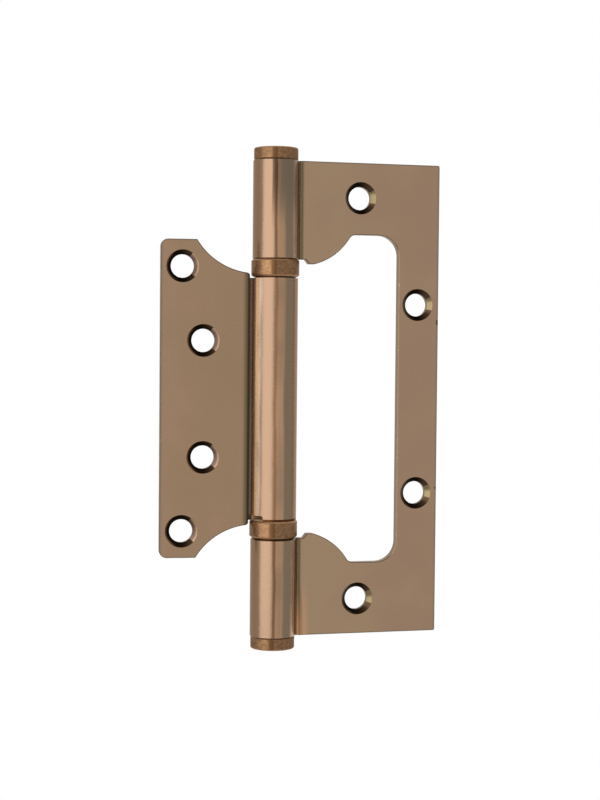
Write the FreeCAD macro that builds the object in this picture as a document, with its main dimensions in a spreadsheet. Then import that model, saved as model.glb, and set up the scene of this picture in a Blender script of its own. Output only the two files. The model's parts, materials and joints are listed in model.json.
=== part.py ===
import FreeCAD, Part
import math
import os
import Sketcher
from FreeCAD import Placement, Rotation, Vector

# Flush hinge with two thrust bearings, drawn laid open. The pin axis is Z and the origin lies on it,
# half way up the barrel. The frame leaf lies in the XZ plane towards +X and the door leaf points
# towards -X. Both show their countersunk faces towards -Y.

# Driving sizes, in millimetres and degrees.
SIZES = (
    ("frame_corner", 0.5, "radius of the frame leaf's outer corners"),
    ("door_reach", 30.15, "pin axis to the door leaf's outer edge"),
    ("door_corner", 2.0, "radius of the door leaf's outer corners"),
    ("leaf_gap", 1.95, "door leaf to the window's top and bottom edges, when shut"),
    ("stile_gap", 3.55, "door leaf to the frame leaf's stile, when shut"),
    ("rest_opening", 186.0, "angle between the two countersunk faces as drawn"),
    ("sheet_gauge", 2.5, "thickness of both leaves"),
    ("edge_break", 0.2, "chamfer along the sheared edges of the leaves"),
    ("knuckle_radius", 6.0, "outside of the rolled knuckles"),
    ("roll_angle", 45.0, "place on the roll where the sheet leaves it, from the leaf plane"),
    ("bend_radius", 1.0, "inside of the bend between roll and leaf"),
    ("seam_gap", 0.12, "free end of the roll to the face of its own leaf"),
    ("middle_knuckle", 63.4, "length of the door leaf's knuckle"),
    ("end_knuckle", 25.8, "length of each of the frame leaf's knuckles"),
    ("window_rise", 6.8, "inner end of an end knuckle to the window's top edge"),
    ("window_corner", 5.5, "radius of the window's outer corners"),
    ("stile_width", 11.2, "strip that closes the window on the outside"),
    ("neck_flat", 0.35, "flat between the bend and the frame leaf's shoulder"),
    ("shoulder_run", 0.9, "run of the frame leaf's slanted shoulder beside its neck"),
    ("ear_drop", 1.15, "ear tip past the inner end of its knuckle"),
    ("ear_radius", 16.0, "round of the ear beside the window"),
    ("ear_flat", 1.54, "flat at the ear's tip"),
    ("ear_slope", 14.6, "slope at which the ear's round leaves that flat"),
    ("ear_fillet", 2.2, "fillet between the ear and the window's top edge"),
    ("nest_gap", 2.0, "hollow of the door leaf over the ear's round, on the radius"),
    ("hollow_inset", 1.1, "centre of the hollow nearer the pin axis than the ear's centre"),
    ("hollow_drop", 0.1, "centre of the hollow below the ear's centre"),
    ("door_neck_set", 0.85, "door leaf's shoulder inside the foot of the bend"),
    ("door_shoulder", 0.8, "round of the door leaf's shoulder beside its neck"),
    ("clip_height", 1.3, "clipped corner at the free end of the door leaf's roll, along the pin"),
    ("clip_sweep", 46.0, "the same corner, round the pin, in degrees"),
    ("clip_round", 0.5, "round at its root"),
    ("hole_diameter", 6.1, "screw holes"),
    ("sink_diameter", 8.5, "screw holes at the countersunk face"),
    ("sink_angle", 90.0, "countersinks"),
    ("arm_hole_out", 22.9, "pin axis to the screw holes in the frame leaf's arms"),
    ("arm_hole_lift", 0.2, "the same holes outside the middle of their arms"),
    ("stile_hole_inset", 5.9, "stile holes from the leaf's outer edge"),
    ("stile_hole_pitch", 50.4, "stile holes, centre to centre"),
    ("outer_hole_inset", 5.75, "door leaf's outer holes from its outer edge"),
    ("outer_hole_drop", 7.0, "the same holes from the leaf's top and bottom edges"),
    ("inner_hole_out", 18.9, "pin axis to the door leaf's inner holes"),
    ("inner_hole_pitch", 30.5, "the same holes, centre to centre"),
    ("pin_clearance", 0.05, "knuckle bore over the pin, on the radius"),
    ("pin_bevel", 0.6, "chamfer on both ends of the pin"),
    ("pin_end_gap", 0.3, "pin end to the cap's spigot"),
    ("cap_step", 0.2, "end caps inside the outside of the knuckles, on the radius"),
    ("cap_height", 3.2, "end cap beyond the knuckle"),
    ("cap_edge", 0.45, "rounding of the cap's outer edge"),
    ("cap_bevel", 0.25, "chamfer of the cap's inner edge"),
    ("spigot_length", 5.0, "cap's spigot inside the knuckle"),
    ("spigot_clearance", 0.02, "knuckle bore over the spigot, on the radius"),
    ("bearing_height", 4.9, "shell, balls and race stacked"),
    ("bearing_play", 0.05, "bearing to the knuckle at each end"),
    ("ball_margin", 0.171, "balls to the bearing's bore on one side and to the skirt on the other"),
    ("shell_wall", 0.8, "skirt of the bearing shells"),
    ("shell_lift", 0.3, "skirt's rim above the foot of the race"),
    ("shell_edge", 0.45, "chamfer on the shell's two outer edges"),
    ("race_bore_gap", 0.12, "bearing bores over the pin, on the radius"),
    ("race_side_gap", 0.1, "race inside the shell's skirt, on the radius"),
    ("ball_diameter", 1.588, "bearing balls, a sixteenth of an inch"),
    ("track_depth", 0.35, "ball tracks in shell and race"),
    ("ball_clearance", 0.03, "ball to its tracks"),
    ("ball_spacing", 0.05, "least gap between neighbouring balls"),
)

# Sizes that follow from the driving ones.
DERIVED = (
    ("bore_radius", "knuckle_radius - sheet_gauge", "knuckle bores"),
    ("half_gauge", "sheet_gauge / 2", "leaf faces from the leaf plane"),
    ("outer_bend", "bend_radius + sheet_gauge", "outside of the bend"),
    ("bend_back", "half_gauge + bend_radius", "bend centre behind the leaf plane"),
    ("slant_run", "((knuckle_radius + bend_radius) * sin(roll_angle) - bend_back) / cos(roll_angle)",
     "straight stretch between roll and bend"),
    ("bend_out", "(knuckle_radius + bend_radius) * cos(roll_angle) + slant_run * sin(roll_angle)",
     "pin axis to the bend centre, along the leaf"),
    ("bend_far", "sqrt(bend_out * bend_out + bend_back * bend_back)", "pin axis to the bend centre"),
    ("seam_reach", "outer_bend + seam_gap", "bend centre to the roll's free corner"),
    ("seam_angle",
     "(atan(bend_back / bend_out) - acos((bend_far * bend_far + knuckle_radius * knuckle_radius"
     " - seam_reach * seam_reach) / (2 * bend_far * knuckle_radius))) / 1deg",
     "free end of the roll, from the leaf plane"),
    ("neck_reach", "bend_out + neck_flat", "pin axis to the end of the frame leaf's neck"),
    ("door_neck_reach", "bend_out - door_neck_set", "pin axis to the end of the door leaf's neck"),
    ("door_knuckle_end", "middle_knuckle / 2", "mid height to the door knuckle's ends"),
    ("frame_knuckle_end", "door_knuckle_end + bearing_height + 2 * bearing_play",
     "mid height to the inner ends of the end knuckles"),
    ("leaf_height", "2 * (frame_knuckle_end + end_knuckle)",
     "frame leaf, top edge to bottom edge"),
    ("window_top", "frame_knuckle_end + window_rise", "mid height to the window's top edge"),
    ("door_height", "2 * (window_top - leaf_gap)", "door leaf, top edge to bottom edge"),
    ("stile_edge", "door_reach + stile_gap", "pin axis to the stile"),
    ("frame_reach", "stile_edge + stile_width", "pin axis to the frame leaf's outer edge"),
    ("ear_tip", "frame_knuckle_end - ear_drop", "mid height to the ear tip"),
    ("ear_start", "neck_reach + shoulder_run + ear_flat", "pin axis to the foot of the ear's round"),
    ("ear_centre_out", "ear_start - ear_radius * sin(ear_slope)",
     "pin axis to the centre of the ear's round"),
    ("ear_centre_up", "ear_tip + ear_radius * cos(ear_slope)", "mid height to the ear's centre"),
    ("hollow_radius", "ear_radius + nest_gap", "hollow of the door leaf"),
    ("hollow_out", "ear_centre_out - hollow_inset", "pin axis to the hollow's centre"),
    ("hollow_up", "ear_centre_up - hollow_drop", "mid height to the hollow's centre"),
    ("pin_radius", "bore_radius - pin_clearance", "hinge pin"),
    ("pin_length", "leaf_height - 2 * (spigot_length + pin_end_gap)", "hinge pin"),
    ("cap_radius", "knuckle_radius - cap_step", "end caps"),
    ("spigot_radius", "bore_radius - spigot_clearance", "spigots of the end caps"),
    ("race_bore", "pin_radius + race_bore_gap", "bores of shells and races"),
    ("skirt_bore", "race_bore + ball_diameter + 2 * ball_margin", "inside of the shell's skirt"),
    ("shell_radius", "skirt_bore + shell_wall", "outside of the bearing shells"),
    ("race_radius", "skirt_bore - race_side_gap", "outside of the races"),
    ("race_gauge", "(bearing_height - ball_diameter) / 2 + track_depth - ball_clearance",
     "thickness of a race, and of the shell's roof"),
    ("ball_orbit", "(race_bore + skirt_bore) / 2", "circle of the ball centres"),
    ("track_radius", "ball_diameter / 2 + ball_clearance", "section of the ball tracks"),
    ("bearing_foot", "door_knuckle_end + bearing_play", "mid height to the upper race"),
)

WHOLE_TURN = 360.0
QUARTER_TURN = 90.0
START = 1
END = 2
CENTRE = 3
ORIGIN = (-1, 1)
SURPLUS = 2.0
NEAR = 1e-4

doc = FreeCAD.newDocument("flush_hinge")
sheet = doc.addObject("Spreadsheet::Sheet", "Sizes")
rows = [(alias, str(value), note) for alias, value, note in SIZES]
rows += [(alias, "=" + formula, note) for alias, formula, note in DERIVED]
for number, (alias, content, note) in enumerate(rows, start=1):
    sheet.set(f"A{number}", note)
    sheet.set(f"B{number}", content)
    sheet.setAlias(f"B{number}", alias)
doc.recompute()


def size(alias):
    return float(getattr(sheet, alias))


def bind(feature, **formulas):
    """Ties a feature's properties to the sheet."""
    for name, formula in formulas.items():
        feature.setExpression(name, formula)


class Outline:
    """A sketch on one of a body's own planes, dimensioned from the sheet."""

    def __init__(self, body, name, plane_role):
        self.sketch = body.newObject("Sketcher::SketchObject", name)
        plane = next(f for f in body.Origin.OriginFeatures if f.Role == plane_role)
        self.sketch.AttachmentSupport = [(plane, "")]
        self.sketch.MapMode = "FlatFace"

    def line(self, start, end):
        return self.sketch.addGeometry(Part.LineSegment(Vector(*start, 0), Vector(*end, 0)))

    def circle(self, centre, radius):
        return self.sketch.addGeometry(Part.Circle(Vector(*centre, 0), Vector(0, 0, 1), radius))

    def arc(self, centre, radius, first, last):
        """An arc that runs counter-clockwise between two angles in degrees."""
        circle = Part.Circle(Vector(*centre, 0), Vector(0, 0, 1), radius)
        return self.sketch.addGeometry(
            Part.ArcOfCircle(circle, math.radians(first), math.radians(last)))

    def constrain(self, kind, *references):
        return self.sketch.addConstraint(Sketcher.Constraint(kind, *references))

    def close(self, *path):
        """Joins segments in a ring. Each is (segment, runs forward, smooth into the next)."""
        for (segment, forward, smooth), (after, after_forward, _) in zip(path, path[1:] + path[:1]):
            ends = (segment, END if forward else START, after, START if after_forward else END)
            self.constrain("Tangent" if smooth else "Coincident", *ends)

    def bind(self, kind, references, formula):
        """Adds a dimension at its present value and ties it to the sheet."""
        if kind == "Radius":
            present = self.sketch.Geometry[references[0]].Radius
        elif kind == "Angle":
            present = self.angle(*references)
        else:
            step = self.sketch.getPoint(*references[2:]) - self.sketch.getPoint(*references[:2])
            present = {"DistanceX": step.x, "DistanceY": step.y, "Distance": step.Length}[kind]
        index = self.constrain(kind, *references, present)
        self.sketch.setExpression(f"Constraints[{index}]", formula)

    def angle(self, *references):
        """The sweep of an arc, or the turn from the sketch's first axis to a line."""
        shape = self.sketch.Geometry[references[-1]]
        if len(references) == 1:
            return shape.LastParameter - shape.FirstParameter
        along = shape.EndPoint - shape.StartPoint
        return math.atan2(along.y, along.x)

    def place(self, point, out=None, up=None):
        """Dimensions a point from the origin along one or both axes of the sketch."""
        if out:
            self.bind("DistanceX", ORIGIN + point, out)
        if up:
            self.bind("DistanceY", ORIGIN + point, up)


def polar(centre, radius, angle):
    turn = math.radians(angle)
    return (centre[0] + radius * math.cos(turn), centre[1] + radius * math.sin(turn))


def new_body(name):
    body = doc.addObject("PartDesign::Body", name)
    body.Label = name
    return body


def cut_through(body, name, outline):
    """Cuts an outline on the leaf plane through the whole piece."""
    pocket = body.newObject("PartDesign::Pocket", name)
    pocket.Profile = outline.sketch
    pocket.SideType = "Symmetric"
    pocket.Type = "ThroughAll"
    return pocket


def lathe(body, outline):
    """Turns a half section about the pin axis."""
    turned = body.newObject("PartDesign::Revolution", "Turned")
    turned.Profile = outline.sketch
    turned.ReferenceAxis = (outline.sketch, ["V_Axis"])
    turned.Angle = WHOLE_TURN


def edges_where(feature, test):
    return [f"Edge{i}" for i, edge in enumerate(feature.Shape.Edges, start=1) if test(edge)]


def dress(body, kind, name, test, **formulas):
    """A fillet or chamfer on those edges of the body that pass the test."""
    doc.recompute()
    base = body.Tip
    dressing = body.newObject(kind, name)
    dressing.Base = (base, edges_where(base, test))
    bind(dressing, **formulas)
    return dressing


def screw_hole(body, name, out, up):
    """A countersunk hole drilled from the front face, above mid height."""
    spot = Outline(body, name + "_centre", "XZ_Plane")
    spot.sketch.setExpression("AttachmentOffset.Base.z", "Sizes.half_gauge")
    mark = spot.circle((size("frame_reach") / 2, size("leaf_height") / 2), size("hole_diameter") / 2)
    spot.bind("Radius", (mark,), "Sizes.hole_diameter / 2")
    spot.place((mark, CENTRE), out, up)
    doc.recompute()
    hole = body.newObject("PartDesign::Hole", name)
    hole.Profile = spot.sketch
    hole.DepthType = "ThroughAll"
    hole.HoleCutType = "Countersink"
    bind(hole, Diameter="Sizes.hole_diameter", HoleCutDiameter="Sizes.sink_diameter",
         HoleCutCountersinkAngle="Sizes.sink_angle")
    return hole


def mirror(body, *features):
    """Repeats features below mid height."""
    mirrored = body.newObject("PartDesign::Mirrored", "Below")
    mirrored.Originals = list(features)
    plane = next(f for f in body.Origin.OriginFeatures if f.Role == "XY_Plane")
    mirrored.MirrorPlane = (plane, [""])
    body.Tip = mirrored


def rolled_blank(body, reach, height):
    """The sheet from the outer edge of a leaf through the bend and once round the pin.

    The leaf points along +X with its front face towards -Y. It bends backwards beside the barrel,
    goes round behind it and ends in front, against its own face.
    """
    knuckle, bore, gauge = size("knuckle_radius"), size("bore_radius"), size("half_gauge")
    leave, seam = size("roll_angle"), WHOLE_TURN + size("seam_angle")
    pin = (0, 0)
    bend = (size("bend_out"), size("bend_back"))
    outside = Outline(body, "Section", "XY_Plane")
    half_turn = WHOLE_TURN / 2
    down = WHOLE_TURN - QUARTER_TURN
    roll = outside.arc(pin, knuckle, leave, seam)
    back_slant = outside.line(polar(pin, knuckle, leave),
                              polar(bend, size("bend_radius"), half_turn + leave))
    back_bend = outside.arc(bend, size("bend_radius"), half_turn + leave, down)
    back_face = outside.line((bend[0], gauge), (size(reach), gauge))
    edge = outside.line((size(reach), gauge), (size(reach), -gauge))
    front_face = outside.line((size(reach), -gauge), (bend[0], -gauge))
    front_bend = outside.arc(bend, size("outer_bend"), half_turn + leave, down)
    front_slant = outside.line(polar(bend, size("outer_bend"), half_turn + leave),
                               polar(pin, bore, leave))
    inside = outside.arc(pin, bore, leave, seam)
    free_end = outside.line(polar(pin, bore, seam), polar(pin, knuckle, seam))
    outside.close((back_slant, True, True), (back_bend, True, True), (back_face, True, False),
                  (edge, True, False), (front_face, True, True), (front_bend, False, True),
                  (front_slant, True, True), (inside, True, False), (free_end, True, False),
                  (roll, False, True))
    for arc in (roll, inside):
        outside.constrain("Coincident", arc, CENTRE, *ORIGIN)
    outside.constrain("Coincident", back_bend, CENTRE, front_bend, CENTRE)
    for straight in (back_face, front_face):
        outside.constrain("Horizontal", straight)
    outside.constrain("Vertical", edge)
    outside.constrain("PointOnObject", *ORIGIN, free_end)
    outside.bind("Radius", (roll,), "Sizes.knuckle_radius")
    outside.bind("Radius", (inside,), "Sizes.bore_radius")
    outside.bind("Radius", (back_bend,), "Sizes.bend_radius")
    outside.bind("Radius", (front_bend,), "Sizes.outer_bend")
    outside.place((back_bend, CENTRE), "Sizes.bend_out", "Sizes.bend_back")
    outside.place((edge, START), f"Sizes.{reach}")
    outside.bind("Distance", (back_bend, CENTRE, roll, END), "Sizes.seam_reach")
    blank = body.newObject("PartDesign::Pad", "Blank")
    blank.Profile = outside.sketch
    blank.SideType = "Symmetric"
    bind(blank, Length=f"Sizes.{height}")
    return blank


def break_edges(body):
    """Chamfers the outline of both faces, and with it the ends of the knuckles."""
    def on_a_face(edge):
        middle = edge.valueAt((edge.FirstParameter + edge.LastParameter) / 2)
        points = [vertex.Point for vertex in edge.Vertexes] + [middle]
        return not edge.isClosed() and all(
            abs(abs(p.y) - size("half_gauge")) < NEAR for p in points) and not is_bend_line(edge)

    def is_bend_line(edge):
        return all(abs(vertex.Point.x - size("bend_out")) < NEAR for vertex in edge.Vertexes)

    dress(body, "PartDesign::Chamfer", "Edge_break", on_a_face, Size="Sizes.edge_break")


def round_corners(body, reach, height, radius):
    """Rounds the two outer corners of a leaf."""
    def at_corner(edge):
        return all(abs(v.Point.x - size(reach)) < NEAR for v in edge.Vertexes) and all(
            abs(abs(v.Point.z) - size(height) / 2) < NEAR for v in edge.Vertexes) and (
            edge.Length < size("sheet_gauge") + NEAR)

    dress(body, "PartDesign::Fillet", "Corners", at_corner, Radius=f"Sizes.{radius}")


def frame_leaf():
    """The large leaf: two arms with end knuckles and ears, joined by a stile."""
    body = new_body("frame_leaf")
    rolled_blank(body, "frame_reach", "leaf_height")
    window = Outline(body, "Window_outline", "XZ_Plane")
    left = -size("knuckle_radius") - SURPLUS
    knuckle_end, tip, top = size("frame_knuckle_end"), size("ear_tip"), size("window_top")
    neck, tip_out = size("neck_reach"), size("neck_reach") + size("shoulder_run")
    ear = (size("ear_centre_out"), size("ear_centre_up"))
    ear_radius, fillet_radius = size("ear_radius"), size("ear_fillet")
    round_start = (size("ear_start"), tip)
    fillet_up = top - fillet_radius
    fillet_out = ear[0] + math.sqrt((ear_radius + fillet_radius) ** 2 - (ear[1] - fillet_up) ** 2)
    fillet_turn = math.degrees(math.atan2(ear[1] - fillet_up, ear[0] - fillet_out))
    corner_radius = size("window_corner")
    corner = (size("stile_edge") - corner_radius, top - corner_radius)
    first_turn = math.degrees(math.atan2(round_start[1] - ear[1], round_start[0] - ear[0]))
    floor = window.line((left, 0), (size("stile_edge"), 0))
    stile = window.line((size("stile_edge"), 0), (size("stile_edge"), corner[1]))
    outer_corner = window.arc(corner, corner_radius, 0, QUARTER_TURN)
    top_edge = window.line((corner[0], top), (fillet_out, top))
    fillet = window.arc((fillet_out, fillet_up), fillet_radius, QUARTER_TURN, fillet_turn)
    round_ear = window.arc(ear, ear_radius, first_turn, fillet_turn - WHOLE_TURN / 2)
    ear_end = window.line(round_start, (tip_out, tip))
    shoulder = window.line((tip_out, tip), (neck, knuckle_end))
    knuckle_edge = window.line((neck, knuckle_end), (left, knuckle_end))
    outer_side = window.line((left, knuckle_end), (left, 0))
    window.close((floor, True, False), (stile, True, True), (outer_corner, True, True),
                 (top_edge, True, True), (fillet, True, True), (round_ear, False, False),
                 (ear_end, True, False), (shoulder, True, False), (knuckle_edge, True, False),
                 (outer_side, True, False))
    for level in (floor, top_edge, ear_end, knuckle_edge):
        window.constrain("Horizontal", level)
    for upright in (stile, outer_side):
        window.constrain("Vertical", upright)
    window.constrain("PointOnObject", floor, START, -1)
    window.place((floor, START), f"-Sizes.knuckle_radius - {SURPLUS}")
    window.place((stile, START), "Sizes.stile_edge")
    window.place((top_edge, START), None, "Sizes.window_top")
    window.place((ear_end, END), "Sizes.neck_reach + Sizes.shoulder_run", "Sizes.ear_tip")
    window.place((knuckle_edge, START), "Sizes.neck_reach", "Sizes.frame_knuckle_end")
    window.place((round_ear, CENTRE), "Sizes.ear_centre_out", "Sizes.ear_centre_up")
    window.bind("Radius", (round_ear,), "Sizes.ear_radius")
    window.bind("Radius", (fillet,), "Sizes.ear_fillet")
    window.bind("Radius", (outer_corner,), "Sizes.window_corner")
    opening = cut_through(body, "Window", window)
    arm_hole = screw_hole(body, "Arm_hole", "Sizes.arm_hole_out",
                          "(Sizes.window_top + Sizes.leaf_height / 2) / 2 + Sizes.arm_hole_lift")
    stile_hole = screw_hole(body, "Stile_hole", "Sizes.frame_reach - Sizes.stile_hole_inset",
                            "Sizes.stile_hole_pitch / 2")
    mirror(body, opening, arm_hole, stile_hole)
    round_corners(body, "frame_reach", "leaf_height", "frame_corner")
    break_edges(body)
    return body


def door_leaf():
    """The small leaf: one long knuckle, with hollowed shoulders that clear the frame leaf's ears.

    It is drawn like the frame leaf and then turned over, end for end, to face the other way.
    """
    body = new_body("door_leaf")
    rolled_blank(body, "door_reach", "door_height")
    shoulder = Outline(body, "Shoulder_outline", "XZ_Plane")
    left = -size("knuckle_radius") - SURPLUS
    over = size("door_height") / 2 + SURPLUS
    knuckle_end, neck = size("door_knuckle_end"), size("door_neck_reach")
    hollow, radius = (size("hollow_out"), size("hollow_up")), size("hollow_radius")
    round_radius = size("door_shoulder")
    round_out = neck + round_radius
    round_up = hollow[1] - math.sqrt((radius + round_radius) ** 2 - (round_out - hollow[0]) ** 2)
    far_out = hollow[0] + math.sqrt(radius ** 2 - (hollow[1] - over) ** 2)
    meeting = math.degrees(math.atan2(hollow[1] - round_up, hollow[0] - round_out))
    last_turn = math.degrees(math.atan2(over - hollow[1], far_out - hollow[0]))
    knuckle_edge = shoulder.line((left, knuckle_end), (neck, knuckle_end))
    neck_side = shoulder.line((neck, knuckle_end), (neck, round_up))
    round_edge = shoulder.arc((round_out, round_up), round_radius, meeting, WHOLE_TURN / 2)
    hollow_edge = shoulder.arc(hollow, radius, meeting - WHOLE_TURN / 2, last_turn)
    lid = shoulder.line((far_out, over), (left, over))
    outer_side = shoulder.line((left, over), (left, knuckle_end))
    shoulder.close((knuckle_edge, True, False), (neck_side, True, True), (round_edge, False, True),
                   (hollow_edge, True, False), (lid, True, False), (outer_side, True, False))
    for level in (knuckle_edge, lid):
        shoulder.constrain("Horizontal", level)
    for upright in (neck_side, outer_side):
        shoulder.constrain("Vertical", upright)
    shoulder.place((knuckle_edge, START), f"-Sizes.knuckle_radius - {SURPLUS}",
                   "Sizes.door_knuckle_end")
    shoulder.place((neck_side, START), "Sizes.door_neck_reach")
    shoulder.place((lid, START), None, f"Sizes.door_height / 2 + {SURPLUS}")
    shoulder.place((hollow_edge, CENTRE), "Sizes.hollow_out", "Sizes.hollow_up")
    shoulder.bind("Radius", (round_edge,), "Sizes.door_shoulder")
    shoulder.bind("Radius", (hollow_edge,), "Sizes.hollow_radius")
    hollow_cut = cut_through(body, "Shoulder", shoulder)
    outer_hole = screw_hole(body, "Outer_hole", "Sizes.door_reach - Sizes.outer_hole_inset",
                            "Sizes.door_height / 2 - Sizes.outer_hole_drop")
    inner_hole = screw_hole(body, "Inner_hole", "Sizes.inner_hole_out", "Sizes.inner_hole_pitch / 2")
    mirror(body, hollow_cut, outer_hole, inner_hole)
    round_corners(body, "door_reach", "door_height", "door_corner")
    break_edges(body)
    clip_free_end(body)
    past_flat = size("rest_opening") - WHOLE_TURN / 2
    body.Placement = Placement(
        Vector(), Rotation(Vector(0, 0, 1), -past_flat) * Rotation(Vector(0, 1, 0), WHOLE_TURN / 2))
    return body


def clip_free_end(body):
    """Cuts a small step into the free end of the roll, in one end of the door leaf's knuckle."""
    sector = Outline(body, "Clip_outline", "XY_Plane")
    sector.sketch.setExpression("AttachmentOffset.Base.z", "Sizes.door_knuckle_end")
    seam = size("seam_angle")
    far_turn = seam - size("clip_sweep")
    pin, radius = (0, 0), size("knuckle_radius") + size("seam_gap") / 2
    near_side = sector.line(pin, polar(pin, radius, seam))
    rim = sector.arc(pin, radius, far_turn, seam)
    far_side = sector.line(polar(pin, radius, far_turn), pin)
    sector.close((near_side, True, False), (rim, False, False), (far_side, True, False))
    sector.constrain("Coincident", near_side, START, *ORIGIN)
    sector.constrain("Coincident", rim, CENTRE, *ORIGIN)
    sector.bind("Radius", (rim,), "Sizes.knuckle_radius + Sizes.seam_gap / 2")
    sector.bind("Angle", (-1, near_side), "Sizes.seam_angle * 1deg")
    sector.bind("Angle", (rim,), "Sizes.clip_sweep * 1deg")
    clip = body.newObject("PartDesign::Pocket", "Clip")
    clip.Profile = sector.sketch
    bind(clip, Length="Sizes.clip_height")

    def at_root(edge):
        middle = edge.valueAt((edge.FirstParameter + edge.LastParameter) / 2)
        level = size("door_knuckle_end") - size("clip_height")
        turn = math.degrees(math.atan2(middle.y, middle.x))
        return abs(middle.z - level) < NEAR and abs(turn - far_turn) < NEAR

    dress(body, "PartDesign::Fillet", "Clip_root", at_root, Radius="Sizes.clip_round")


def hinge_pin():
    """The steel pin that runs through all three knuckles."""
    body = new_body("hinge_pin")
    section = Outline(body, "Section", "XY_Plane")
    rim = section.circle((0, 0), size("pin_radius"))
    section.constrain("Coincident", rim, CENTRE, *ORIGIN)
    section.bind("Radius", (rim,), "Sizes.pin_radius")
    rod = body.newObject("PartDesign::Pad", "Rod")
    rod.Profile = section.sketch
    rod.SideType = "Symmetric"
    bind(rod, Length="Sizes.pin_length")
    dress(body, "PartDesign::Chamfer", "Bevels", lambda edge: edge.isClosed(), Size="Sizes.pin_bevel")
    return body


def end_cap(name, up):
    """A turned cap: a flat head on the knuckle's end and a spigot pressed into its bore."""
    body = new_body(name)
    half = Outline(body, "Half_section", "XZ_Plane")
    depth, spigot = -size("spigot_length"), size("spigot_radius")
    head, bevel = size("cap_radius"), size("cap_bevel")
    rounding, height = size("cap_edge"), size("cap_height")
    foot = half.line((0, depth), (spigot, depth))
    shank = half.line((spigot, depth), (spigot, 0))
    seat = half.line((spigot, 0), (head - bevel, 0))
    slope = half.line((head - bevel, 0), (head, bevel))
    side = half.line((head, bevel), (head, height - rounding))
    edge = half.arc((head - rounding, height - rounding), rounding, 0, QUARTER_TURN)
    face = half.line((head - rounding, height), (0, height))
    middle = half.line((0, height), (0, depth))
    half.close((foot, True, False), (shank, True, False), (seat, True, False), (slope, True, False),
               (side, True, True), (edge, True, True), (face, True, False), (middle, True, False))
    for level in (foot, seat, face):
        half.constrain("Horizontal", level)
    for upright in (shank, side, middle):
        half.constrain("Vertical", upright)
    half.constrain("PointOnObject", middle, START, -2)
    half.constrain("PointOnObject", seat, START, -1)
    half.place((foot, END), "Sizes.spigot_radius", "-Sizes.spigot_length")
    half.place((seat, END), "Sizes.cap_radius - Sizes.cap_bevel")
    half.place((side, START), "Sizes.cap_radius", "Sizes.cap_bevel")
    half.place((face, END), None, "Sizes.cap_height")
    half.bind("Radius", (edge,), "Sizes.cap_edge")
    lathe(body, half)
    body.Placement.Rotation = Rotation(Vector(1, 0, 0), 0 if up else WHOLE_TURN / 2)
    sign = "" if up else "-"
    body.setExpression("Placement.Base.z", sign + "Sizes.leaf_height / 2")
    return body


def track(half, level, height, upward):
    """The groove for the balls, drawn in a half section as an arc that opens at a level."""
    centre, radius = (size("ball_orbit"), height), size("track_radius")
    tilt = math.degrees(math.asin(abs(height - level) / radius))
    half_turn = WHOLE_TURN / 2
    first, last = (tilt, half_turn - tilt) if upward else (half_turn + tilt, WHOLE_TURN - tilt)
    groove = half.arc(centre, radius, first, last)
    half.bind("Radius", (groove,), "Sizes.track_radius")
    half.place((groove, CENTRE), "Sizes.ball_orbit", "Sizes.bearing_height / 2")
    spread = radius * math.cos(math.radians(tilt))
    return groove, (centre[0] - spread, level), (centre[0] + spread, level)


def bearing_race(name, foot):
    """The lower washer of a bearing, with the track in its top."""
    body = new_body(name)
    half = Outline(body, "Half_section", "XZ_Plane")
    bore, outside, top = size("race_bore"), size("race_radius"), size("race_gauge")
    groove, near, far = track(half, top, size("bearing_height") / 2, False)
    bottom = half.line((bore, 0), (outside, 0))
    rim = half.line((outside, 0), (outside, top))
    outer_top = half.line((outside, top), far)
    inner_top = half.line(near, (bore, top))
    inside = half.line((bore, top), (bore, 0))
    half.close((bottom, True, False), (rim, True, False), (outer_top, True, False),
               (groove, False, False), (inner_top, True, False), (inside, True, False))
    for level in (bottom, outer_top, inner_top):
        half.constrain("Horizontal", level)
    for upright in (rim, inside):
        half.constrain("Vertical", upright)
    half.constrain("PointOnObject", bottom, START, -1)
    half.place((bottom, START), "Sizes.race_bore")
    half.place((rim, END), "Sizes.race_radius", "Sizes.race_gauge")
    half.constrain("PointOnObject", inner_top, START, outer_top)
    lathe(body, half)
    body.setExpression("Placement.Base.z", foot)
    return body


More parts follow.
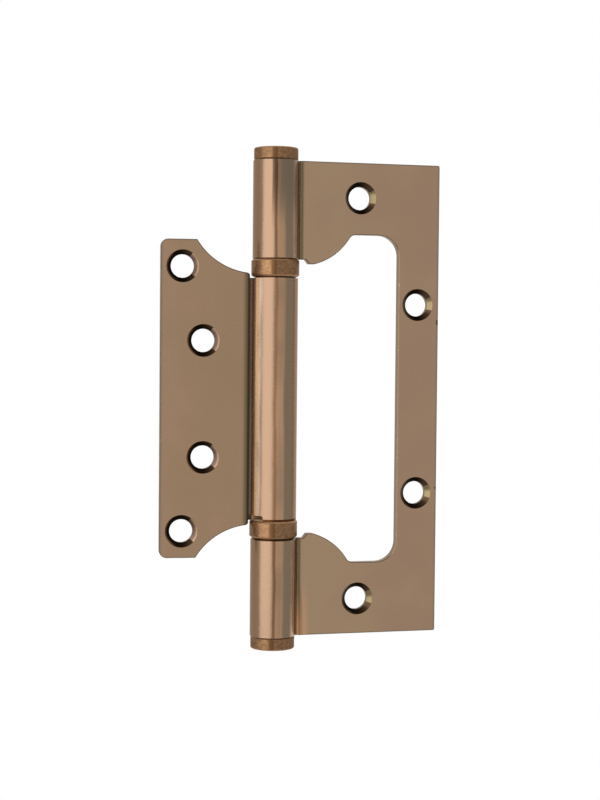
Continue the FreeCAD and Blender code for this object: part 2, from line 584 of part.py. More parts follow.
def bearing_shell(name, foot):
    """The upper washer of a bearing, with a skirt that hides the balls and the race."""
    body = new_body(name)
    half = Outline(body, "Half_section", "XZ_Plane")
    bore, skirt, outside = size("race_bore"), size("skirt_bore"), size("shell_radius")
    top, lift, chamfer = size("bearing_height"), size("shell_lift"), size("shell_edge")
    under = top - size("race_gauge")
    groove, near, far = track(half, under, top / 2, True)
    inner_roof = half.line((bore, under), near)
    outer_roof = half.line(far, (skirt, under))
    skirt_inside = half.line((skirt, under), (skirt, lift))
    rim = half.line((skirt, lift), (outside - chamfer, lift))
    low_bevel = half.line((outside - chamfer, lift), (outside, lift + chamfer))
    side = half.line((outside, lift + chamfer), (outside, top - chamfer))
    high_bevel = half.line((outside, top - chamfer), (outside - chamfer, top))
    roof = half.line((outside - chamfer, top), (bore, top))
    inside = half.line((bore, top), (bore, under))
    half.close((inner_roof, True, False), (groove, False, False), (outer_roof, True, False),
               (skirt_inside, True, False), (rim, True, False), (low_bevel, True, False),
               (side, True, False), (high_bevel, True, False), (roof, True, False),
               (inside, True, False))
    for level in (inner_roof, outer_roof, rim, roof):
        half.constrain("Horizontal", level)
    for upright in (skirt_inside, side, inside):
        half.constrain("Vertical", upright)
    half.place((inner_roof, START), "Sizes.race_bore", "Sizes.bearing_height - Sizes.race_gauge")
    half.constrain("PointOnObject", outer_roof, START, inner_roof)
    half.place((skirt_inside, END), "Sizes.skirt_bore", "Sizes.shell_lift")
    half.place((low_bevel, START), "Sizes.shell_radius - Sizes.shell_edge")
    half.place((side, START), "Sizes.shell_radius", "Sizes.shell_lift + Sizes.shell_edge")
    half.place((side, END), None, "Sizes.bearing_height - Sizes.shell_edge")
    half.place((roof, START), "Sizes.shell_radius - Sizes.shell_edge", "Sizes.bearing_height")
    lathe(body, half)
    body.setExpression("Placement.Base.z", foot)
    return body


def ball_ring(prefix, foot):
    """As many balls as the track holds, side by side."""
    pitch = size("ball_diameter") + size("ball_spacing")
    count = math.floor(math.tau * size("ball_orbit") / pitch)
    balls = []
    for number in range(count):
        ball = doc.addObject("Part::Sphere", f"{prefix}_ball_{number + 1:02d}")
        ball.Label = ball.Name
        turn = f"({WHOLE_TURN * number} / {count}) * 1deg"
        ball.setExpression("Radius", "Sizes.ball_diameter / 2")
        ball.setExpression("Placement.Base.x", f"Sizes.ball_orbit * cos({turn})")
        ball.setExpression("Placement.Base.y", f"Sizes.ball_orbit * sin({turn})")
        ball.setExpression("Placement.Base.z", f"{foot} + Sizes.bearing_height / 2")
        balls.append(ball)
    return balls


def faults_in(pieces):
    """Names what failed to build, came out empty or broken, or cut nothing."""
    faults = [o.Name for o in doc.Objects if {"Invalid", "Error"} & set(o.State)]
    for piece in pieces:
        if piece.Shape.isNull() or not piece.Shape.isValid() or len(piece.Shape.Solids) != 1:
            faults.append(piece.Label)
        for feature in getattr(piece, "Group", []):
            if feature.TypeId in ("PartDesign::Pocket", "PartDesign::Hole"):
                if not feature.Shape.Volume < feature.BaseFeature.Shape.Volume - NEAR:
                    faults.append(feature.Name)
    return faults


upper_foot = "Sizes.bearing_foot"
lower_foot = "Sizes.bearing_play - Sizes.frame_knuckle_end"
pieces = [
    frame_leaf(),
    door_leaf(),
    hinge_pin(),
    end_cap("top_cap", up=True),
    end_cap("bottom_cap", up=False),
    bearing_race("upper_bearing_race", upper_foot),
    bearing_shell("upper_bearing_shell", upper_foot),
    bearing_race("lower_bearing_race", lower_foot),
    bearing_shell("lower_bearing_shell", lower_foot),
]
pieces += ball_ring("upper", upper_foot)
pieces += ball_ring("lower", lower_foot)
doc.recompute()

faults = faults_in(pieces)
if faults:
    raise RuntimeError("not built: " + ", ".join(faults))
os.makedirs("parts", exist_ok=True)
for piece in pieces:
    piece.Shape.exportStep(f"parts/{piece.Label}.step")
    print(piece.Label, round(piece.Shape.Volume, 2), piece.Shape.BoundBox)
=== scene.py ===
import json
import math

import bpy
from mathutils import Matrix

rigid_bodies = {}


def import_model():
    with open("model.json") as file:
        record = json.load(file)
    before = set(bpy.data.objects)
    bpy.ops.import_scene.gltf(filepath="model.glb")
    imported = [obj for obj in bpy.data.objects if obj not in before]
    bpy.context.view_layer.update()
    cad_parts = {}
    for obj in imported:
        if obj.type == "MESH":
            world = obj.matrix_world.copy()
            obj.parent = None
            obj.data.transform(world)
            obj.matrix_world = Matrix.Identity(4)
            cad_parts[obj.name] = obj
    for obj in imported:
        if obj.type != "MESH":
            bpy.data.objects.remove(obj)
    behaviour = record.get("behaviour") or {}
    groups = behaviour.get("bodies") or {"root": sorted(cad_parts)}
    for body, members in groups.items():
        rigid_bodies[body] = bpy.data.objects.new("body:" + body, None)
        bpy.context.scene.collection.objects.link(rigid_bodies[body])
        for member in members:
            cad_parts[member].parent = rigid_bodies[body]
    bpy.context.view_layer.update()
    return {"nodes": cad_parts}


# The part stands alone before a white sweep. Whatever an empty file starts with is cleared first,
# so that the scene starts with the hinge alone.
for leftover in list(bpy.data.objects):
    bpy.data.objects.remove(leftover)
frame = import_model()


# White paper sweep, well under the part as on a product stand, in metres. It keeps a soft shadow
# below the part and goes over into the white surroundings further out.
SWEEP_DROP = 0.42
SWEEP_REACH = 6.0
SHADOW_REACH = 0.3
PAPER = (0.93, 0.93, 0.93, 1.0)
WHITE = (1.0, 1.0, 1.0, 1.0)

# The sockets of a Mix node that take and give colours, by their number.
COLOUR_BELOW = 6
COLOUR_ABOVE = 7
COLOUR_MIXED = 2


class Wire:
    """One output in a node tree. Arithmetic on it adds Math nodes, and node() adds any other."""

    def __init__(self, tree, socket=None):
        self.tree = tree
        self.socket = socket

    def node(self, kind, settings, sockets, output=0):
        made = self.tree.nodes.new(kind)
        for name, value in settings.items():
            setattr(made, name, value)
        for name, value in sockets.items():
            if isinstance(value, Wire):
                self.tree.links.new(value.socket, made.inputs[name])
            else:
                made.inputs[name].default_value = value
        return Wire(self.tree, made.outputs[output] if made.outputs else None)

    def math(self, operation, *others):
        values = dict(enumerate((self, *others)))
        return self.node("ShaderNodeMath", {"operation": operation}, values)

    def __add__(self, other):
        return self.math("ADD", other)

    def __radd__(self, other):
        return self.math("ADD", other)

    def __sub__(self, other):
        return self.math("SUBTRACT", other)

    def __rsub__(self, other):
        return self.node("ShaderNodeMath", {"operation": "SUBTRACT"}, {0: other, 1: self})

    def __mul__(self, other):
        return self.math("MULTIPLY", other)

    def __rmul__(self, other):
        return self.math("MULTIPLY", other)

    def __abs__(self):
        return self.math("ABSOLUTE")

    def rise(self, low, high):
        """0 below low, 1 above high and a smooth step between them."""
        return self.node(
            "ShaderNodeMapRange",
            {"interpolation_type": "SMOOTHSTEP"},
            {"Value": self, "From Min": low, "From Max": high},
        )

    def band(self, low, high, soft):
        """1 between low and high, fading out over soft on both sides."""
        return self.rise(low - soft, low) * (1 - self.rise(high, high + soft))

    def blend(self, below, above):
        """Colour below where this is 0 and colour above where it is 1."""
        sockets = {0: self, COLOUR_BELOW: below, COLOUR_ABOVE: above}
        return self.node("ShaderNodeMix", {"data_type": "RGBA"}, sockets, COLOUR_MIXED)


def empty_tree(owner):
    owner.use_nodes = True
    owner.node_tree.nodes.clear()
    return Wire(owner.node_tree)


bpy.ops.mesh.primitive_plane_add(size=2 * SWEEP_REACH, location=(0, 0, -SWEEP_DROP))
sweep = bpy.context.object
sweep.name = "paper_sweep"
paper = bpy.data.materials.new("white_paper")
sheet = empty_tree(paper)
spot = sheet.node("ShaderNodeTexCoord", {}, {}, "Object")
away = sheet.node("ShaderNodeVectorMath", {"operation": "LENGTH"}, {0: spot}, "Value")
matt = sheet.node("ShaderNodeBsdfDiffuse", {}, {"Color": PAPER})
glow = sheet.node("ShaderNodeEmission", {}, {"Color": WHITE, "Strength": 1.0})
far_out = away.rise(SHADOW_REACH, 2 * SHADOW_REACH)
laid = sheet.node("ShaderNodeMixShader", {}, {0: far_out, 1: matt, 2: glow})
sheet.node("ShaderNodeOutputMaterial", {}, {"Surface": laid})
sweep.data.materials.append(paper)


# White surroundings, as in a light tent round the part: full white to the eye and in the metal,
# and slightly less than that as light.
ROOM_LIGHT = 0.9

world = bpy.data.worlds.new("white_room")
bpy.context.scene.world = world
room = empty_tree(world)
camera_ray = room.node("ShaderNodeLightPath", {}, {}, "Is Camera Ray")
glossy_ray = room.node("ShaderNodeLightPath", {}, {}, "Is Glossy Ray")
through_ray = room.node("ShaderNodeLightPath", {}, {}, "Is Transmission Ray")
seen = (camera_ray + glossy_ray + through_ray).rise(0, 1)
strength = ROOM_LIGHT + seen * (1 - ROOM_LIGHT)
wall = room.node("ShaderNodeBackground", {}, {"Color": WHITE, "Strength": strength})
room.node("ShaderNodeOutputWorld", {}, {"Surface": wall})


# A large softbox stands to the left of the camera: its reflection is the pale band along the
# barrel, from the left flank to the middle. Lengths are in metres, the power in watts.
BOX_AZIMUTH = math.radians(-51.0)
BOX_AWAY = 1.2
BOX_WIDTH = 1.42
BOX_HEIGHT = 2.2
BOX_POWER = 24.8
UPRIGHT = math.radians(90.0)

light = bpy.data.lights.new("side_softbox", "AREA")
light.shape = "RECTANGLE"
light.size = BOX_WIDTH
light.size_y = BOX_HEIGHT
light.energy = BOX_POWER
softbox = bpy.data.objects.new("side_softbox", light)
bpy.context.scene.collection.objects.link(softbox)
softbox.location = (BOX_AWAY * math.sin(BOX_AZIMUTH), -BOX_AWAY * math.cos(BOX_AZIMUTH), 0)
softbox.rotation_euler = (UPRIGHT, 0, BOX_AZIMUTH)
softbox.visible_camera = False


# The camera of the photograph: a 77 mm lens on a 36 mm frame, a little to the left of the part,
# looking slightly down. Its place is in metres from the middle of the pin, its turn in degrees.
LENS = 77.0
FILM_WIDTH = 36.0
EYE_PLACE = (-0.110138, -0.436067, 0.016190)
EYE_TURN = (87.914, -0.511, -15.020)

eye = bpy.data.cameras.new("camera")
eye.lens = LENS
eye.sensor_width = FILM_WIDTH
camera = bpy.data.objects.new("camera", eye)
bpy.context.scene.collection.objects.link(camera)
camera.location = EYE_PLACE
camera.rotation_euler = [math.radians(angle) for angle in EYE_TURN]
bpy.context.scene.camera = camera
bpy.context.scene.view_settings.view_transform = "Standard"


# Leaves: steel sheet, sheared to outline, rolled at the knuckles and plated in satin antique copper
# of a bronze tone. The faces are even and the sheared edges are darker. Dark patina with painted
# shade lies in the countersinks and in the valley beside the roll, and the knuckles and the
# countersinks also carry painted highlights.
def tone(red, green, blue):
    """A colour given as it looks on a screen, 0 to 255, as the linear one a shader takes.

    A screen's curve is straight near black and a power of the level above it.
    """
    linear = []
    for level in (red, green, blue):
        share = level / 255
        linear.append(share / 12.92 if share <= 0.04045 else ((share + 0.055) / 1.055) ** 2.4)
    return (*linear, 1.0)


NEAR_BLACK = tone(30, 20, 11)
SHEARED = tone(126, 108, 90)
SHEARED_LINE = tone(100, 82, 64)
EDGE_RUBBED = tone(150, 128, 104)
DARK_BROWN = tone(74, 57, 43)
RING_BROWN = tone(126, 102, 82)
BRASS = tone(110, 97, 71)
PINK_BRONZE = tone(132, 109, 98)
PEACH_RIM = tone(176, 146, 118)
GREY_OLIVE = tone(117, 101, 83)
BAND_BROWN = tone(123, 100, 82)
WARM_BROWN = tone(130, 103, 80)
RED_BROWN = tone(108, 74, 50)
HIGHLIGHT_BROWN = tone(168, 133, 104)
TOP_GREY = tone(92, 83, 72)
MOUTH_BROWN = tone(138, 114, 88)
# Tones that paint light towards the hinge's foot.
FOOT_LIT_PINK = tone(176, 138, 108)
FOOT_LIT_BROWN = tone(104, 76, 48)
FOOT_LIT_TAN = tone(132, 98, 70)
NICK_BROWN = tone(60, 45, 35)
CORNER_GREY = tone(128, 112, 97)
JOINT_BROWN = tone(66, 38, 14)
CLIP_RAW_AND_HIGHLIGHT = tone(215, 185, 150)
FOOT_PEACH_HIGHLIGHT = tone(235, 195, 160)
GRAZING_TINT = (0.84, 0.78, 0.72, 1.0)
SATIN_ROUGHNESS = 0.24
MM_PER_METRE = 1000.0
RELIEF_HEIGHT = 0.012
RIGHT = (1, 0, 0)
FORWARD = (0, -1, 0)
UPWARD = (0, 0, 1)


class Surface(Wire):
    """Where a point of the part lies, in millimetres, and which way the surface faces there."""

    def __init__(self, tree, out=RIGHT, front=FORWARD):
        super().__init__(tree)
        self.spot = self.node("ShaderNodeTexCoord", {}, {}, "Object")
        self.facing = self.node("ShaderNodeTexCoord", {}, {}, "Normal")
        self.out = self.along(self.spot, out) * MM_PER_METRE
        self.depth = self.along(self.spot, front) * MM_PER_METRE
        self.up = self.along(self.spot, UPWARD) * MM_PER_METRE
        level = self.scaled(MM_PER_METRE, 0)
        self.radius = self.node("ShaderNodeVectorMath", {"operation": "LENGTH"}, {0: level}, "Value")
        self.faces_out = self.along(self.facing, out)
        self.faces_front = self.along(self.facing, front)
        self.faces_up = self.along(self.facing, UPWARD)

    def along(self, vector, direction):
        sockets = {0: vector, 1: direction}
        return self.node("ShaderNodeVectorMath", {"operation": "DOT_PRODUCT"}, sockets, "Value")

    def scaled(self, across, upward):
        sockets = {0: self.spot, 1: (across, across, upward)}
        return self.node("ShaderNodeVectorMath", {"operation": "MULTIPLY"}, sockets)

    def grain(self, across, upward, detail=3.0, roughness=0.6):
        """Noise, 0 to 1, with so many features a millimetre across the part and up it."""
        stretched = self.scaled(across * MM_PER_METRE, upward * MM_PER_METRE)
        sockets = {"Vector": stretched, "Scale": 1.0, "Detail": detail, "Roughness": roughness}
        return self.node("ShaderNodeTexNoise", {}, sockets)

    def turn(self):
        """Degrees round the pin: 0 at the front, growing towards the right."""
        rightward = self.along(self.spot, RIGHT)
        forward = self.along(self.spot, FORWARD)
        return rightward.math("ARCTAN2", forward) * math.degrees(1)


def metal(surface, colour, roughness, relief, relief_height=RELIEF_HEIGHT):
    """Closes a material: unplated or plated metal with that relief, in millimetres."""
    sockets = {"Strength": 1.0, "Distance": relief_height / MM_PER_METRE, "Height": relief}
    bumped = surface.node("ShaderNodeBump", {}, sockets)
    sockets = {"Base Color": colour, "Metallic": 1.0, "Roughness": roughness, "Normal": bumped}
    sockets["Specular Tint"] = GRAZING_TINT
    shader = surface.node("ShaderNodeBsdfPrincipled", {}, sockets)
    surface.node("ShaderNodeOutputMaterial", {}, {"Surface": shader})


def dress(node, material):
    for slot in frame["nodes"][node].material_slots:
        slot.material = material


# Heights on the barrel and radii round the pin, in millimetres. Towards the barrel's foot the
# colours are painted paler and pinker, as painted light on the lower bend; of the two heights after
# FOOT_START, the first is where it begins and the second where it is full.
KNUCKLE_RADIUS = 6.0
TOP_START = 42.0
TOP_END = 58.0
FOOT_START = -42.0
FOOT_LIGHT_START = -46.0
FOOT_LIGHT_END = -61.0
CLIP_TOP = -30.4
COLLAR_SEAT = -31.7
JOINT_HALF = (0.4, 0.5)

# Marks along the barrel, by their place round the pin in degrees, from which they all wander. Two
# numbers are where a change begins and ends, three are a band's sides and how softly it fades.
TURN_WANDER = 12
# The flank tones, the greying to the front, the brown line and the pale strip are painted light.
LEFT_FLANK_LIGHT = (-80, -60, 14)
TOP_LINE = (-21, -12, 4)
FRONT_GREYING = (-16, 2)
REFLECTION_LINE = (-14, -11, 4)
TOP_GREYING = (-8, 4)
PALE_HIGHLIGHT_STRIP = (-6, 7, 9)
RIGHT_FLANK_LIGHT = (32, 50)

# How much of each mark's colour shows, and which levels of the noise it shows at.
PALE_SHARE = 0.95
PALE_LOST_AT_TOP = 0.9
PEACH_SHARE = 0.6
STREAK_SHARE = 0.35
TOP_GREY_SHARE = 0.5
PATCHES = (0.3, 0.6)
STREAKS = (0.4, 0.7)


def patchy(noise):
    """A factor for a mark that is at least half there everywhere and whole in patches."""
    return 0.5 + 0.5 * noise.rise(*PATCHES)


def knuckle_colour(leaf, left_flank_light, right_flank_light, reflection_line_brown, mouth):
    """Tones by the turn round the pin, painted light: warm on the far side, grey to the front, a
    painted highlight on one flank and at the front and a dark painted reflection line; streaks along
    the pin.
    """
    wander = (leaf.grain(across=0.05, upward=0.05, detail=2.0) - 0.5) * TURN_WANDER
    turn = leaf.turn() + wander
    streaks = leaf.grain(across=1.6, upward=0.03)
    patches = leaf.grain(across=0.03, upward=0.05, detail=2.0)
    top = leaf.up.rise(TOP_START, TOP_END)
    foot = 1 - leaf.up.rise(FOOT_LIGHT_END, FOOT_START)

    # Painted light: warm and pale flank tones and grey from the front round to the right stand for
    # the barrel's reflections; a pale flank is a painted highlight.
    colour = turn.band(*LEFT_FLANK_LIGHT).blend(BAND_BROWN, left_flank_light)
    colour = turn.rise(*FRONT_GREYING).blend(colour, GREY_OLIVE)
    # Towards the foot the right flank is painted peach, a painted highlight on the lower bend.
    right = (foot * PEACH_SHARE).blend(right_flank_light, FOOT_PEACH_HIGHLIGHT)
    colour = turn.rise(*RIGHT_FLANK_LIGHT).blend(colour, right)
    # A painted highlight: a pale strip at the front, in patches, weaker towards the top.
    pale = turn.band(*PALE_HIGHLIGHT_STRIP) * patchy(patches) * (PALE_SHARE - PALE_LOST_AT_TOP * top)
    colour = pale.blend(colour, HIGHLIGHT_BROWN)
    # A painted reflection: a dark brown line left of the front.
    line = turn.band(*REFLECTION_LINE) * patchy(streaks)
    colour = line.blend(colour, reflection_line_brown)
    colour = (streaks.rise(*STREAKS) * STREAK_SHARE).blend(colour, WARM_BROWN)
    # Greyer at the top from the front round to the right, with a dark line left of the front there.
    colour = (turn.rise(*TOP_GREYING) * top * TOP_GREY_SHARE).blend(colour, TOP_GREY)
    colour = (turn.band(*TOP_LINE) * top).blend(colour, DARK_BROWN)

    # The roll is plain where it opens into its leaf, and dark in the joint at the lower collar.
    middle, fully_open, just_open = mouth
    opening = 1 - abs(leaf.turn() - middle).rise(fully_open, just_open)
    colour = opening.blend(colour, MOUTH_BROWN)
    joint = abs(leaf.up - COLLAR_SEAT).rise(*JOINT_HALF)
    return joint.blend(JOINT_BROWN, colour), streaks


# A countersink's edge and rim, in millimetres from its axis, and how high above the sheet's back it
# begins. Two numbers are where a change begins and ends. A painted highlight lies on the wall that
# faces the given side, and the soft level and the other side are levels of how squarely a wall faces
# that way.
HALF_GAUGE = 1.25
SINK_RADIUS = 4.25
SINK_EDGE = (SINK_RADIUS - 0.02, SINK_RADIUS + 0.05)
SINK_RIM = (SINK_RADIUS - 0.5, SINK_RADIUS - 0.25)
OFF_THE_BACK = (0.02, 0.1)
HIGHLIGHT_SIDE = (-0.995, 0, -0.1)
HIGHLIGHT_SOFT = 0.015
AWAY_FROM_HIGHLIGHT = (-0.5, -0.2)
SHADE_SHARE = 0.7
RING_SHARE = 0.8


def sink_colour(leaf, colour, hole, worn):
    """A countersink: dark patina with painted shade, and a painted highlight where its wall faces
    left.
    """
    hole_out, hole_up = hole
    highlight_reach, worn_wall, worn_rim = worn
    across = leaf.out - hole_out
    upward = abs(leaf.up) - hole_up
    distance = (across * across + upward * upward).math("SQRT")
    sunk = 1 - distance.rise(*SINK_EDGE)
    sunk = sunk * (leaf.depth + HALF_GAUGE).rise(*OFF_THE_BACK)
    side = leaf.along(leaf.facing, HIGHLIGHT_SIDE)
    rim = distance.rise(*SINK_RIM)
    # Dark patina with painted shade in the hollow; the wall that faces left gets a painted highlight
    # below.
    patina = (side.rise(0.0, highlight_reach) * SHADE_SHARE).blend(NEAR_BLACK, DARK_BROWN)
    ring = rim * (1 - side.rise(*AWAY_FROM_HIGHLIGHT)) * RING_SHARE
    patina = ring.blend(patina, RING_BROWN)
    highlighted = side.rise(highlight_reach - HIGHLIGHT_SOFT, highlight_reach)
    return sunk.blend(colour, highlighted.blend(patina, rim.blend(worn_wall, worn_rim)))


# The sheet: lengths in millimetres, shares and levels between 0 and 1, and what grain, streaks and
# slow waves add to the roughness and to the relief.
NECK_END = 12.0
NECK_SOFT = 1.0
FAR_OUT = 40.0
OUTWARD_DRIFT = 0.3
DRIFT = (0.4, 0.9)
BORDER_OUT = 0.9
BORDER_UP = 0.5
BORDER_FULL = 0.1
ROLL_FACE = (KNUCKLE_RADIUS + 0.05, KNUCKLE_RADIUS + 0.25)
INSIDE_ROLL = (KNUCKLE_RADIUS - 0.2, KNUCKLE_RADIUS - 0.05)
PINK_END = (8.0, 10.0)
STEP_SOFT = 0.1
FACING_FRONT = (0.1, 0.4)
ON_AN_EDGE = (0.4, 0.6)
BROKEN_CORNER = (0.45, 0.85, 0.1)
RUBBED_SPOTS = (0.58, 0.72)
SPOT_SHARE = 0.6
NICK_DEPTH = 0.7
NICK_SOFT = 0.3
CLIP_SOFT = 0.1
GRAIN_ROUGHNESS = 0.05
BURNISHED = 0.03
STREAK_ROUGHNESS = 0.08
TORN_ROUGHNESS = 0.6
GRAIN_RELIEF = 0.05
STREAK_RELIEF = 0.15
WAVE_RELIEF = 5.0


def leaf_finish(
    node, out, front, size, holes, satin, flank_lights, reflection_line_brown, mouth, valley, worn, nicks
):
    """One leaf, with its sheet running out from the pin and facing front.

    size is its reach and half its height, holes are how far out and up they lie, and nicks are how
    high on the free edge and half how long. mouth is where round the pin the roll opens, and how
    far to either side it is fully and just open. valley holds the radii and tones of the patina and
    painted shade from the roll outwards, and the one after it how far a countersink's painted
    highlight reaches, with its two tones.
    """
    material = bpy.data.materials.new(node + "_bronze")
    leaf = Surface(empty_tree(material).tree, out, front)

    # Even satin plating with a slow drift of hue and a fine grain, greyer along the free border.
    drift = leaf.grain(across=0.05, upward=0.05, detail=2.0)
    drift = (drift + leaf.out.rise(NECK_END, FAR_OUT) * OUTWARD_DRIFT).rise(*DRIFT)
    grain = leaf.grain(across=1.4, upward=1.4)
    reach, half_height = size
    border = leaf.out.rise(reach - BORDER_OUT, reach - BORDER_FULL)
    ends = abs(leaf.up).rise(half_height - BORDER_UP, half_height - BORDER_FULL)
    plate = border.math("MAXIMUM", ends).blend(drift.blend(*satin), CORNER_GREY)

    # Patina and painted shade in the valley between roll and leaf: olive at the leaf and dark
    # further in, with a thin painted step beside the roll. Near the hinge's foot the shade is
    # painted paler and pinker, as painted light on the lower bend.
    (step, grey), (dark_start, dark_end, dark), (olive_start, olive_end, olive) = valley
    # Towards the foot the valley's painted shade is painted paler and pinker, painted light on the
    # lower bend.
    toward_foot = 1 - leaf.up.rise(FOOT_LIGHT_END, FOOT_LIGHT_START)
    pink = toward_foot * (1 - leaf.radius.rise(*PINK_END))
    colour = pink.blend(plate, FOOT_LIT_PINK)
    past_olive = leaf.radius.rise(olive_start, toward_foot + olive_end)
    colour = past_olive.blend((toward_foot * toward_foot).blend(olive, FOOT_LIT_TAN), colour)
    past_dark = leaf.radius.rise(dark_start, dark_end)
    colour = past_dark.blend(toward_foot.blend(dark, FOOT_LIT_BROWN), colour)
    # A thin painted step beside the roll: a grey highlight on the door leaf, deeper shade on the
    # frame leaf.
    colour = leaf.radius.rise(step - STEP_SOFT, step + STEP_SOFT).blend(grey, colour)
    colour = leaf.faces_front.rise(*FACING_FRONT).blend(plate, colour)

    on_knuckle = 1 - leaf.radius.rise(*ROLL_FACE)
    knuckle, streaks = knuckle_colour(leaf, *flank_lights, reflection_line_brown, mouth)
    colour = on_knuckle.blend(colour, knuckle)

    # Sheared edges, with a darker line along the broken corner, rubbed pale in small spots.
    sideways = abs(leaf.faces_out) * leaf.out.rise(NECK_END, NECK_END + NECK_SOFT)
    sheared = abs(leaf.faces_up).math("MAXIMUM", sideways).rise(*ON_AN_EDGE)
    corner = abs(leaf.faces_front).band(*BROKEN_CORNER)
    spots = leaf.grain(across=0.9, upward=0.9).rise(*RUBBED_SPOTS) * SPOT_SHARE
    edge = spots.blend(corner.blend(SHEARED, SHEARED_LINE), EDGE_RUBBED)
    colour = sheared.blend(colour, edge)
    nick_root = reach - NICK_DEPTH
    for nick_up, nick_half in nicks:
        plain = abs(leaf.up - nick_up).rise(nick_half, nick_half + NICK_SOFT)
        nick = leaf.out.rise(nick_root, nick_root + NICK_SOFT) * (1 - plain)
        colour = nick.blend(colour, NICK_BROWN)

    for hole in holes:
        colour = sink_colour(leaf, colour, hole, worn)

    # The roll's foot is clipped at the seam, which leaves raw, rough faces inside it; their pale
    # tone is partly a painted highlight in the notch.
    clipped = 1 - leaf.up.rise(CLIP_TOP - CLIP_SOFT, CLIP_TOP + CLIP_SOFT)
    clipped = clipped * (1 - leaf.radius.rise(*INSIDE_ROLL))
    clipped = clipped * leaf.up.rise(COLLAR_SEAT - 2 * CLIP_SOFT, COLLAR_SEAT - CLIP_SOFT)
    colour = clipped.blend(colour, CLIP_RAW_AND_HIGHLIGHT)

    roughness = SATIN_ROUGHNESS + GRAIN_ROUGHNESS * grain
    roughness = roughness - on_knuckle * (BURNISHED - STREAK_ROUGHNESS * streaks)
    roughness = roughness + clipped * TORN_ROUGHNESS
    waves = leaf.grain(across=0.22, upward=0.10, detail=2.0)
    rolled = streaks * STREAK_RELIEF + waves * WAVE_RELIEF
    metal(leaf, colour, roughness, grain * GRAIN_RELIEF + on_knuckle * rolled)
    dress(node, material)


leaf_finish(
    "frame_leaf",
    out=RIGHT,
    front=FORWARD,
    size=(44.9, 62.5),
    holes=((22.9, 53.2), (39.0, 25.2)),
    satin=(tone(151, 127, 101), tone(147, 120, 99)),
    flank_lights=(WARM_BROWN, tone(205, 180, 162)),
    reflection_line_brown=RED_BROWN,
    mouth=(90.0, 28.0, 36.0),
    valley=(
        (6.25, tone(60, 44, 29)),
        (6.45, 6.7, tone(67, 54, 38)),
        (6.8, 7.7, tone(82, 70, 53)),
    ),
    worn=(0.645, BRASS, BRASS),
    nicks=((20.6, 0.5), (-23.9, 0.1)),
)
REST_LEAN = math.radians(6.0)
leaf_finish(
    "door_leaf",
    out=(-math.cos(REST_LEAN), math.sin(REST_LEAN), 0),
    front=(-math.sin(REST_LEAN), -math.cos(REST_LEAN), 0),
    size=(30.15, 41.55),
    holes=((24.4, 34.55), (18.9, 15.25)),
    satin=(tone(142, 118, 93), tone(150, 121, 99)),
    flank_lights=(tone(224, 200, 176), tone(146, 115, 92)),
    reflection_line_brown=tone(134, 94, 65),
    mouth=(-96.0, 6.0, 20.0),
    valley=(
        (6.8, tone(84, 80, 76)),
        (7.2, 7.6, tone(58, 47, 31)),
        (7.5, 8.9, tone(96, 83, 62)),
    ),
    worn=(0.56, PINK_BRONZE, PEACH_RIM),
    nicks=(),
)


# End caps and bearing shells: turned steel, copper plated and tumbled, so that the copper tone is
# mottled and the corners are rubbed pale, with a painted highlight there too. A dark line left of
# the front is a painted reflection. The upper faces are painted paler as a highlight, the shells'
# most, and are more matt.
COPPER_DARK = tone(100, 74, 51)
COPPER_PALE = tone(129, 98, 71)
COPPER_REFLECTION = tone(86, 60, 38)
SHELL_TOP_HIGHLIGHT = tone(240, 220, 190)
COPPER_RUBBED_AND_HIGHLIGHT = tone(172, 134, 102)
MOTTLE = (0.3, 0.7)
COPPER_REFLECTION_BAND = (-20, -13, 7)
TURNED_CORNER = (0.5, 0.9, 0.08)
CORNER_SHARE = 0.7
FACING_UP = (0.9, 0.95)
MOTTLE_ROUGHNESS = 0.15
UPPER_FACE_ROUGHNESS = 0.3
LEVEL = (1, 1, 0)


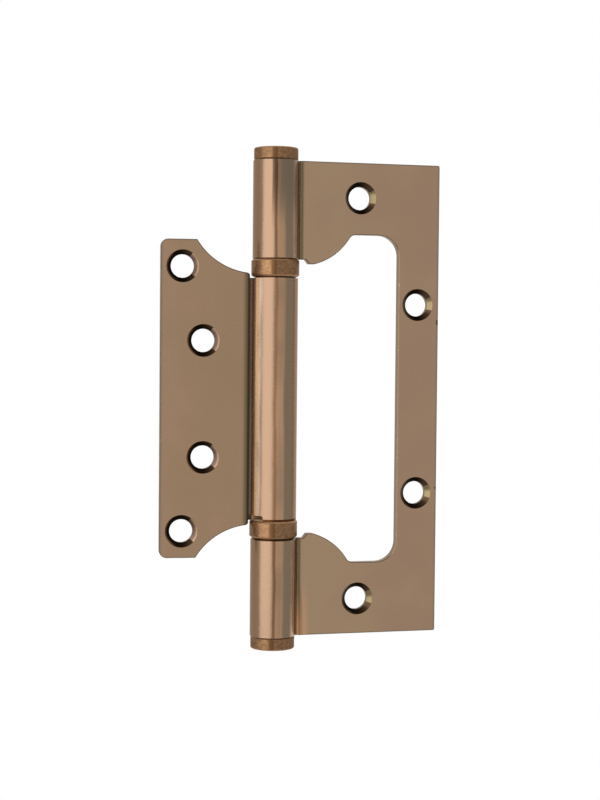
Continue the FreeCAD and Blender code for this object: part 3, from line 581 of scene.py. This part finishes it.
def turned_finish(name, nodes, roughness, upper_face_highlight):
    material = bpy.data.materials.new(name)
    turned = Surface(empty_tree(material).tree)
    mottle = turned.grain(across=1.3, upward=1.8, detail=6.0)
    colour = mottle.rise(*MOTTLE).blend(COPPER_DARK, COPPER_PALE)
    # A painted reflection: a dark line left of the front.
    colour = turned.turn().band(*COPPER_REFLECTION_BAND).blend(colour, COPPER_REFLECTION)
    sockets = {0: turned.facing, 1: LEVEL}
    level = turned.node("ShaderNodeVectorMath", {"operation": "MULTIPLY"}, sockets)
    outward = turned.node("ShaderNodeVectorMath", {"operation": "LENGTH"}, {0: level}, "Value")
    # Pale corners on the bevels: rubbed, and a painted highlight.
    corner = outward.band(*TURNED_CORNER)
    colour = (corner * CORNER_SHARE).blend(colour, COPPER_RUBBED_AND_HIGHLIGHT)
    # A painted highlight: the upper faces are painted paler; they are also more matt.
    upper_face = turned.faces_up.rise(*FACING_UP)
    colour = upper_face.blend(colour, upper_face_highlight)
    roughness = roughness + MOTTLE_ROUGHNESS * mottle + upper_face * UPPER_FACE_ROUGHNESS
    metal(turned, colour, roughness, mottle)
    for node in nodes:
        dress(node, material)


turned_finish(
    "cap_copper",
    ("top_cap", "bottom_cap"),
    roughness=0.42,
    upper_face_highlight=COPPER_PALE,
)
turned_finish(
    "shell_copper",
    ("upper_bearing_shell", "lower_bearing_shell"),
    roughness=0.29,
    upper_face_highlight=SHELL_TOP_HIGHLIGHT,
)


# Races, balls and pin: bare steel, hidden inside the barrel. The races are hardened and ground, the
# balls are polished and the pin is drawn. Old grease darkens the rims of the races, which just show
# below the shells.
GREASE = tone(46, 28, 14)
GREASY_RIM = (5.25, 5.35)
GROUND_ROUGHNESS = 0.1
GROUND_RELIEF_HEIGHT = 0.003


def steel_finish(name, nodes, steel_dark, steel_pale, roughness, across, upward):
    material = bpy.data.materials.new(name)
    steel = Surface(empty_tree(material).tree)
    ground = steel.grain(across, upward)
    colour = ground.blend(steel_dark, steel_pale)
    colour = steel.radius.rise(*GREASY_RIM).blend(colour, GREASE)
    metal(steel, colour, roughness + GROUND_ROUGHNESS * ground, ground, GROUND_RELIEF_HEIGHT)
    for node in nodes:
        dress(node, material)


steel_finish(
    "ground_steel",
    ("upper_bearing_race", "lower_bearing_race"),
    tone(160, 158, 154),
    tone(184, 182, 178),
    roughness=0.25,
    across=0.3,
    upward=6.0,
)
steel_finish(
    "polished_steel",
    [node for node in frame["nodes"] if "_ball_" in node],
    tone(192, 192, 192),
    tone(206, 206, 206),
    roughness=0.08,
    across=2.0,
    upward=2.0,
)
steel_finish(
    "drawn_steel",
    ("hinge_pin",),
    tone(160, 146, 128),
    tone(180, 166, 148),
    roughness=0.45,
    across=3.0,
    upward=0.05,
)
